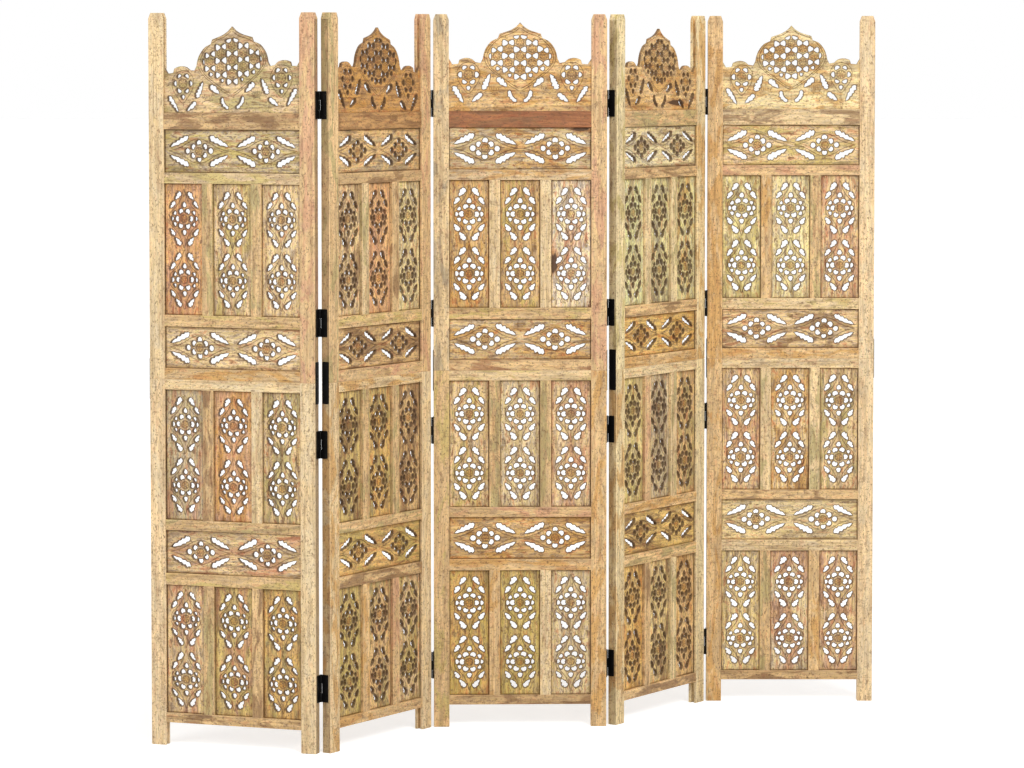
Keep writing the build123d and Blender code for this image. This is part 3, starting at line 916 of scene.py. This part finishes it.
# The screws' heights on a plate, radius, and how far their heads sink into it.
PLATE_SCREWS, LEAF_SCREWS = ((-39, -17, 17, 39), 3.4, 0.37), ((-22, 0, 22), 2.7, 0.25)
LEAF_STAGGER = 2.2
ARM_OVERLAP, ARM_ROUND = 0.4, 0.2


def rounded_plate(width, height, radius, steps=4):
    points = []
    for cx, cz, start in ((1, 1, 0), (-1, 1, 1), (-1, -1, 2), (1, -1, 3)):
        for k in range(steps + 1):
            a = (start + k / steps) * pi / 2
            points.append((cx * (width / 2 - radius) + radius * cos(a),
                           cz * (height / 2 - radius) + radius * sin(a)))
    return points


def edge_plate(pieces, x_in, x_out, y, z, width, height, radius):
    """A thin plate flat against a stile's edge, from x_in at the wood to x_out."""
    outline = [(x_in, y + u, z + v) for u, v in rounded_plate(width, height, radius)]
    pieces.add(*softened(swept(outline, (x_out - x_in, 0, 0)), PLATE_ROUND, 1))


def walls(n, rows, first=0):
    """Faces between rings of n points that follow each other."""
    return [tuple(first + k for k in (r * n + i, r * n + (i + 1) % n, (r + 1) * n + (i + 1) % n,
                                      (r + 1) * n + i))
            for r in range(rows - 1) for i in range(n)]


def screw(pieces, x, outward, y, z, radius, turn):
    """A countersunk screw head with a cross recess, just proud of its plate."""
    n = SCREW_SIDES
    places = [(x + outward * lift, y + radius * share * cos(a), z + radius * share * sin(a))
              for share, lift in SCREW_RINGS for a in loop(n)]
    faces = walls(n, len(SCREW_RINGS))
    arm, blade = radius * CROSS_ARM, radius * CROSS_BLADE
    cross = []
    for q in range(4):
        a = turn + q * pi / 2
        for u, v in ((arm, -blade), (arm, blade), (blade, blade)):
            cross.append((u * cos(a) - v * sin(a), u * sin(a) + v * cos(a)))
    first, m = len(places), len(cross)
    for lift in (SCREW_RINGS[-1][1], -CROSS_DEPTH):
        places += [(x + outward * lift, y + u, z + v) for u, v in cross]
    faces += walls(m, 2, first)
    faces.append(tuple(first + m + i for i in range(m)))
    outer = range(n * (len(SCREW_RINGS) - 1), first)
    rim = [Vector((places[i][1] - y, places[i][2] - z)) for i in outer] + [Vector(c) for c in cross]
    edges = [(i, (i + 1) % n) for i in range(n)] + [(n + i, n + (i + 1) % m) for i in range(m)]
    _, _, tris, source, _, owners = delaunay_2d_cdt(
        rim, edges, [list(range(n)), list(range(n, n + m))], 1, 1e-6, True)
    index = [outer[s[0]] if s[0] < n else first + s[0] - n for s in source]
    faces += [tuple(index[i] for i in t) for t, own in zip(tris, owners) if own == [0]]
    if outward < 0:
        faces = [tuple(reversed(f)) for f in faces]
    pieces.add(places, faces)


def barrel(pieces, x, y, low, high, radius, bore=0.0, n=24):
    """An upright round tube or rod with softened ends."""
    c = min(0.35, radius / 5)
    places = [(x + r * cos(a), y + r * sin(a), z)
              for z, r in ((low, radius - c), (low + c, radius), (high - c, radius), (high, radius - c))
              for a in loop(n)]
    faces = walls(n, 4)
    smooth = [True] * len(faces)
    if bore:
        first = len(places)
        for z in (low, high):
            places += [(x + bore * cos(a), y + bore * sin(a), z) for a in loop(n)]
        for i in range(n):
            j = (i + 1) % n
            faces.append((first + j, first + i, first + n + i, first + n + j))
            faces.append((j, i, first + i, first + j))
            faces.append((3 * n + i, 3 * n + j, first + n + j, first + n + i))
        smooth += [True, False, False] * n
    else:
        faces += [tuple(reversed(range(n))), tuple(3 * n + i for i in range(n))]
        smooth += [False, False]
    pieces.add(places, faces, smooth=smooth)


def holds_pin(n, junction):
    return (n == junction) == (junction >= ROOT_PANEL)


def hinge_leaf(pieces, n, junction, height, rng):
    at_right = n == junction
    outward = 1 if at_right else -1
    edge = WIDTH if at_right else 0.0
    face, backward = (THICKNESS, -1) if PINS_AT_BACK[junction] else (0.0, 1)
    out = edge + outward * LEAF_THICKNESS
    y = face + backward * LEAF_WIDTH / 2
    edge_plate(pieces, edge, out, y, height, LEAF_WIDTH, LEAF_HEIGHT, LEAF_CORNER)
    heights, radius, sink = LEAF_SCREWS
    for z in heights:
        shift = LEAF_STAGGER if z else -LEAF_STAGGER
        screw(pieces, out - outward * sink, outward, y + backward * shift, height + z, radius,
              rng.uniform(0, 1.5))
    low = height - LEAF_HEIGHT / 2
    middle = (END_KNUCKLE + KNUCKLE_PLAY, LEAF_HEIGHT - END_KNUCKLE - KNUCKLE_PLAY)
    ends = ((0.0, END_KNUCKLE), (LEAF_HEIGHT - END_KNUCKLE, LEAF_HEIGHT))
    x, depth = edge + outward * EDGE_GAP / 2, pin_depth(junction)
    held = holds_pin(n, junction)
    for start, stop in ends if held else (middle,):
        barrel(pieces, x, depth, low + start, low + stop, KNUCKLE_RADIUS, 0.0 if held else BORE_RADIUS)
        y0, y1 = sorted((face, face - backward * STANDOFF))
        x0, x1 = sorted((edge, out))
        pieces.add(*block(x0, x1, y0 - ARM_OVERLAP, y1, low + start, low + stop, ARM_ROUND))


def build_hardware(n, steel):
    rng = np.random.default_rng(900 + n)
    plates = Pieces()
    heights, radius, sink = PLATE_SCREWS
    for edge, outward in ((0.0, -1), (WIDTH, 1)):
        out = edge + outward * PLATE_THICKNESS
        edge_plate(plates, edge, out, THICKNESS / 2, SPLIT, PLATE_WIDTH, PLATE_HEIGHT, PLATE_CORNER)
        for z in heights:
            screw(plates, out - outward * sink, outward, THICKNESS / 2, SPLIT + z, radius,
                  rng.uniform(0, 1.5))
    plates.place(f"panel_{n}_plates", n, steel, "black_steel", f"panel_{n}_joint_plates")
    leaves = Pieces()
    junctions = [j for j in (n - 1, n) if j in PINS_AT_BACK]
    for junction in junctions:
        for height in HINGE_HEIGHTS:
            hinge_leaf(leaves, n, junction, height, rng)
    leaves.place(f"panel_{n}_hinges", n, steel, "black_steel", f"panel_{n}_hinge_leaves")
    reach = LEAF_HEIGHT / 2 - END_KNUCKLE
    for j in junctions:
        if holds_pin(n, j):
            rods = Pieces()
            x = WIDTH + EDGE_GAP / 2 if n == j else -EDGE_GAP / 2
            for height in HINGE_HEIGHTS:
                barrel(rods, x, pin_depth(j), height - reach, height + reach, PIN_RADIUS, n=16)
            rods.place(f"pins_{j}_{j + 1}", n, steel, "black_steel", f"hinge_pins_{j}_{j + 1}")


# ---- Wooden parts
def build_wood(n, timber):
    rng = np.random.default_rng(100 + n)
    # The side of each board with more painted shadow: the left on panel 1, the right elsewhere.
    shaded = -1 if n == 1 else 1
    frame_gain, board_gain = GAINS[n]

    def place(pieces, name, node):
        pieces.place(f"panel_{n}_{name}", n, timber, "mango_wood", f"panel_{n}_{node}")

    def framed(words, along, kind):
        return wood(words, along, kind, rng, frame_gain)

    def carved(words, along, *spot):
        return wood(words, along, spot[0], rng, board_gain, KNOTS.get((n, *spot)))

    def bar(x0, x1, low, high):
        return block(x0, x1, RAIL_INSET, THICKNESS - RAIL_INSET, low, high, RAIL_ROUND)

    for pick, (side, left) in enumerate((("left", 0.0), ("right", WIDTH - STILE))):
        posts = Pieces()
        posts.add(*stile(left, 0, SPLIT, False), framed(STILES[n][pick], 2, "stile"))
        posts.add(*stile(left, SPLIT + SEAM, HEIGHT, True), framed(STILES[n][pick + 2], 2, "stile"))
        place(posts, f"{side}_posts", f"{side}_stiles")
    words = iter(RAIL[n])
    for part, edges in (("lower", LOWER_RAILS), ("upper", UPPER_RAILS)):
        bars = Pieces()
        for low, high in edges:
            bars.add(*bar(STILE, WIDTH - STILE, low, high), framed(next(words), 0, "rail"))
        place(bars, f"{part}_bars", f"{part}_rails")
    uprights = Pieces()
    for low, high in TALL_BAYS:
        for way in WAYS:
            x = MIDDLE + way * PITCH / 2
            uprights.add(*bar(x - MUNTIN / 2, x + MUNTIN / 2, low, high),
                         framed(MUNTINS[rng.integers(len(MUNTINS))], 2, "muntin"))
    place(uprights, "uprights", "muntins")
    talls = Pieces()
    for bay, (low, high) in enumerate(TALL_BAYS):
        for column in range(3):
            board = tall_board(high - low, rng)
            x = MIDDLE + (column - 1) * PITCH
            grown = carved(TALL[n][3 * bay + column], 2, "tall", bay, column)
            board.build(x, (low + high) / 2, talls, grown, BORDER, BORDER_DEPTH, shaded)
    place(talls, "jali", "jali_boards")
    wides = Pieces()
    for bay, ((low, high), word) in enumerate(zip(BANDS, BAND[n])):
        board = band_board(high - low, rng)
        grown = carved(word, 0, "band", bay)
        board.build(MIDDLE, (low + high) / 2, wides, grown, BORDER, BORDER_DEPTH, shaded)
    place(wides, "bands", "band_boards")
    arch = Pieces()
    board = crest_board(n, rng)
    board.build(MIDDLE, UPPER_RAILS[-1][1] - CREST_DROPS[n], arch, carved(CREST[n], 0, "crest"),
                CREST_BORDER, CREST_BORDER)
    place(arch, "arch", "crest")


matrices = {n: panel_matrix(n) for n in PANELS}
timber = mango_wood()
steel = black_steel()
for n in PANELS:
    build_wood(n, timber)
    build_hardware(n, steel)


# ---- Floor, light, camera
WHITE = (1, 1, 1, 1)
FLOOR_REACH = 90


def seen(m):
    """1 for the camera's rays and those that reflection and clear material send on."""
    path = m.add("LightPath", out=None)
    eye = m.math("MAXIMUM", path.outputs["Is Camera Ray"], path.outputs["Is Glossy Ray"])
    return m.math("MAXIMUM", eye, path.outputs["Is Transmission Ray"])


def floor_material():
    m = Nodes(bpy.data.materials.new("pale_floor"))
    diffuse = m.add("BsdfDiffuse", {"Color": (0.62, 0.62, 0.62, 1), "Roughness": 1.0})
    glow = m.add("Emission", {"Color": WHITE, "Strength": 0.6})
    both = m.add("AddShader", {0: diffuse, 1: glow})
    plain = m.add("BsdfDiffuse", {"Color": (0.85, 0.85, 0.85, 1), "Roughness": 1.0})
    return m.done(m.add("MixShader", {0: seen(m), 1: plain, 2: both}))


ground = bpy.data.meshes.new("ground")
corners = [(x * FLOOR_REACH, y * FLOOR_REACH, 0) for x, y in ((-1, -1), (1, -1), (1, 1), (-1, 1))]
ground.from_pydata(corners, [], [(0, 1, 2, 3)])
ground.materials.append(floor_material())
floor = in_scene("floor", ground)

world = bpy.data.worlds.new("studio")
bpy.context.scene.world = world
sky = Nodes(world)
strength = sky.add("MapRange", {0: seen(sky), 3: 0.72, 4: 1.0})
sky.done(sky.add("Background", {"Color": WHITE, "Strength": strength}), "World")


def softbox(name, place, aim, size, power):
    lamp = bpy.data.lights.new(name, "AREA")
    lamp.shape = "RECTANGLE"
    lamp.size, lamp.size_y = size
    lamp.energy = power
    light = in_scene(name, lamp)
    light.location = place
    light.rotation_euler = (Vector(aim) - Vector(place)).to_track_quat("-Z", "Y").to_euler()
    light.visible_camera = False


softbox("key", (1.8, -4.5, 4.2), (0, 0, 0.9), (2.2, 2.2), 150)
softbox("fill", (-3.6, -4.0, 2.2), (0, 0, 0.8), (2.5, 2.5), 45)

lens = bpy.data.cameras.new("camera")
lens.sensor_width = 36.0
lens.lens = 133.35
lens.shift_y = -108 / 1024
lens.clip_end = 200.0
camera = in_scene("camera", lens)
camera.location = (-0.0274, -8.7406, 1.5462)
camera.rotation_euler = (radians(90 - 3.269), 0, 0)
bpy.context.scene.camera = camera

bpy.context.scene.view_settings.view_transform = "Standard"
